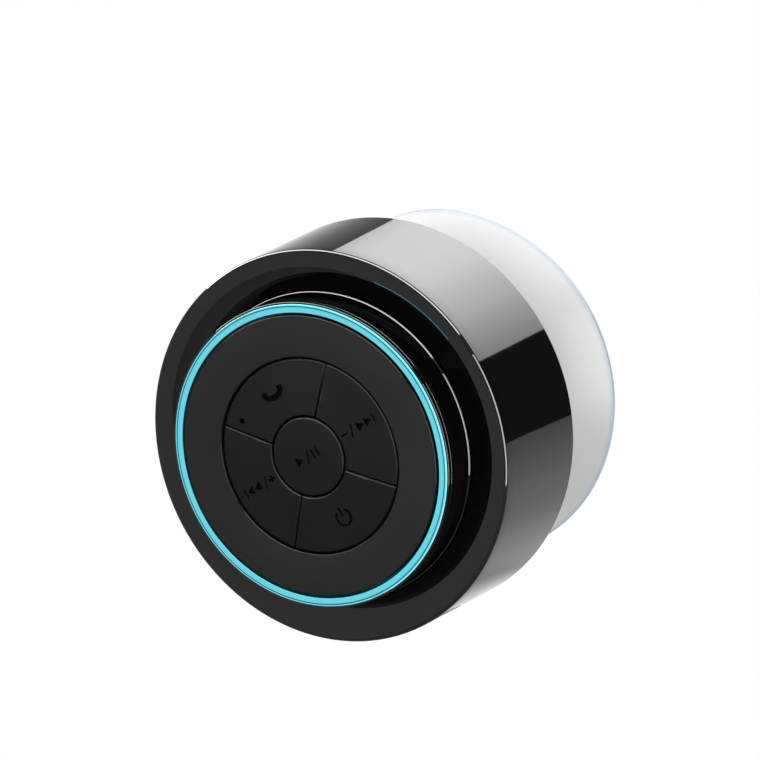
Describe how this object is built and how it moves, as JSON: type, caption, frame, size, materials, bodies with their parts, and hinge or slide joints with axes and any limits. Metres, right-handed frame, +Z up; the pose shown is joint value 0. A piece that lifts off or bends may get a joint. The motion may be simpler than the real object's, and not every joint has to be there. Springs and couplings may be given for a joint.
{
  "type": "shower speaker",
  "caption": "Round black bathroom speaker with a raised pod of domed keys inside a blue light ring, and a pale suction cup that unscrews from the back.",
  "frame": {"origin": "centre of the suction cup lip, on the wall plane", "axes": "+Y into the wall, -Y towards the listener, +Z up towards the call key, +X to the listener's right"},
  "size_m": [0.082, 0.0632, 0.082],
  "materials": {
    "gloss_black": "gloss",
    "matt_black": "matte",
    "soft_touch": "matte",
    "key_rubber": "matte",
    "light_guide": "gloss",
    "cup_silicone": "satin",
    "hub_plastic": "satin",
    "seal_rubber": "matte",
    "mesh_cloth": "matte",
    "board": "satin",
    "led_case": "satin",
    "switch_steel": "satin",
    "shield_steel": "satin",
    "chip": "matte",
    "capacitor_can": "satin",
    "battery_foil": "satin",
    "foam": "matte",
    "wire": "satin",
    "ribbon": "satin",
    "port_steel": "satin",
    "basket_steel": "satin",
    "magnet": "gloss",
    "cone_paper": "matte",
    "surround_rubber": "matte",
    "spider_cloth": "matte",
    "coil_copper": "satin",
    "screw_steel": "satin",
    "plunger": "satin"
  },
  "bodies": {
    "cup": {"suction_cup": "cup_silicone", "cup_hub": "hub_plastic"},
    "seal_ring": {"hub_seal": "seal_rubber"},
    "speaker": {"amplifier_chip": "chip", "baffle_plate": "matt_black", "baffle_screws": "screw_steel", "battery_cell": "battery_foil", "battery_leads": "wire", "battery_pad": "foam", "bluetooth_module": "shield_steel", "capacitors": "capacitor_can", "cover_seal": "seal_rubber", "driver_frame": "basket_steel", "driver_gasket": "foam", "driver_magnet": "magnet", "driver_spider": "spider_cloth", "driver_surround": "surround_rubber", "front_panel": "soft_touch", "front_shell": "gloss_black", "key_board": "board", "key_board_screws": "screw_steel", "key_membrane": "seal_rubber", "key_ribbon": "ribbon", "key_switches": "switch_steel", "leds": "led_case", "light_ring": "light_guide", "magnet_yoke": "basket_steel", "main_board": "board", "main_board_screws": "screw_steel", "microphone": "switch_steel", "pod_housing": "gloss_black", "pod_screws": "screw_steel", "pole_plate": "basket_steel", "rear_cover": "matt_black", "rear_cover_screws": "screw_steel", "ring_bezel": "gloss_black", "slot_mesh": "mesh_cloth", "speaker_leads": "wire", "terminal_tag": "board", "usb_gasket": "seal_rubber", "usb_socket": "port_steel"},
    "play_button": {"play_key": "key_rubber", "play_plunger": "plunger"},
    "call_button": {"call_key": "key_rubber", "call_plunger": "plunger", "mic_mesh": "mesh_cloth"},
    "next_button": {"next_key": "key_rubber", "next_plunger": "plunger"},
    "previous_button": {"previous_key": "key_rubber", "previous_plunger": "plunger"},
    "power_button": {"power_key": "key_rubber", "power_plunger": "plunger"},
    "cone": {"driver_cone": "cone_paper", "dust_cap": "cone_paper", "voice_coil": "coil_copper"}
  },
  "joints": [
    {"name": "cup_thread_slide", "type": "slide", "parent": "cup", "child": "seal_ring", "axis": [0, -1, 0], "range_m": [0, 0.00401]},
    {"name": "cup_thread_turn", "type": "hinge", "parent": "seal_ring", "child": "speaker", "pos_m": [0, 0, 0], "axis": [0, -1, 0], "range_deg": [0, 576]},
    {"name": "play_press", "type": "slide", "parent": "speaker", "child": "play_button", "axis": [0, 1, 0], "range_m": [0, 0.00025], "stiffness_N_per_m": 3000, "springref_m": -0.0003},
    {"name": "call_press", "type": "slide", "parent": "speaker", "child": "call_button", "axis": [0, 1, 0], "range_m": [0, 0.00025], "stiffness_N_per_m": 3000, "springref_m": -0.0003},
    {"name": "next_press", "type": "slide", "parent": "speaker", "child": "next_button", "axis": [0, 1, 0], "range_m": [0, 0.00025], "stiffness_N_per_m": 3000, "springref_m": -0.0003},
    {"name": "previous_press", "type": "slide", "parent": "speaker", "child": "previous_button", "axis": [0, 1, 0], "range_m": [0, 0.00025], "stiffness_N_per_m": 3000, "springref_m": -0.0003},
    {"name": "power_press", "type": "slide", "parent": "speaker", "child": "power_button", "axis": [0, 1, 0], "range_m": [0, 0.00025], "stiffness_N_per_m": 3000, "springref_m": -0.0003},
    {"name": "cone_stroke", "type": "slide", "parent": "speaker", "child": "cone", "axis": [0, -1, 0], "range_m": [-0.0008, 0.0008], "stiffness_N_per_m": 800, "deforming": ["driver_surround", "driver_spider"]}
  ],
  "couplings": [
    {"joint": "cup_thread_slide", "follows": "cup_thread_turn", "m_per_rad": 0.00039789}
  ]
}
